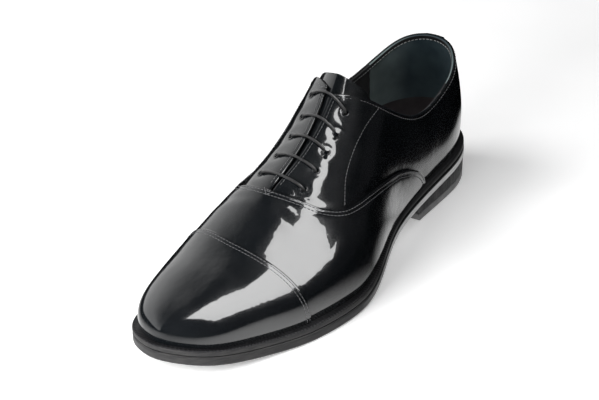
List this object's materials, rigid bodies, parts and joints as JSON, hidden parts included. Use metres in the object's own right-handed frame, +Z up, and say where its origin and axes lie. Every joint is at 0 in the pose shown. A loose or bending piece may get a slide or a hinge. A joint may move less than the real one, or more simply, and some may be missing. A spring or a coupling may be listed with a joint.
{
  "type": "dress shoe",
  "caption": "Black patent leather dress shoe, left foot: closed lacing over a slit throat, plain stitched toe cap, welted sole with arch and toe spring, low stacked heel.",
  "frame": {"origin": "on the floor under the middle of the shoe's box", "axes": "+X from heel to toe, +Y to the shoe's left, which is its outer side, +Z up from the floor"},
  "size_m": [0.3043, 0.1066, 0.1134],
  "materials": {
    "patent_leather": "mirror-gloss black patent",
    "lining": "matt dark grey-green lining leather",
    "welt_edge": "waxed black edge",
    "outsole": "satin dark grey",
    "heel": "satin dark grey",
    "heel_lift": "matt grey",
    "lace": "waxed black round cord"
  },
  "bodies": {
    "root": {"upper": "patent_leather", "vamp": "patent_leather", "toe_cap": "patent_leather", "back_tab": "patent_leather", "tongue": "patent_leather", "insole": "lining", "welt": "welt_edge", "outsole": "outsole", "heel_block": "heel", "heel_lift": "heel_lift", "lace_bar_1": "lace", "lace_bar_2": "lace", "lace_bar_3": "lace", "lace_bar_4": "lace", "lace_bar_5": "lace"}
  },
  "joints": []
}
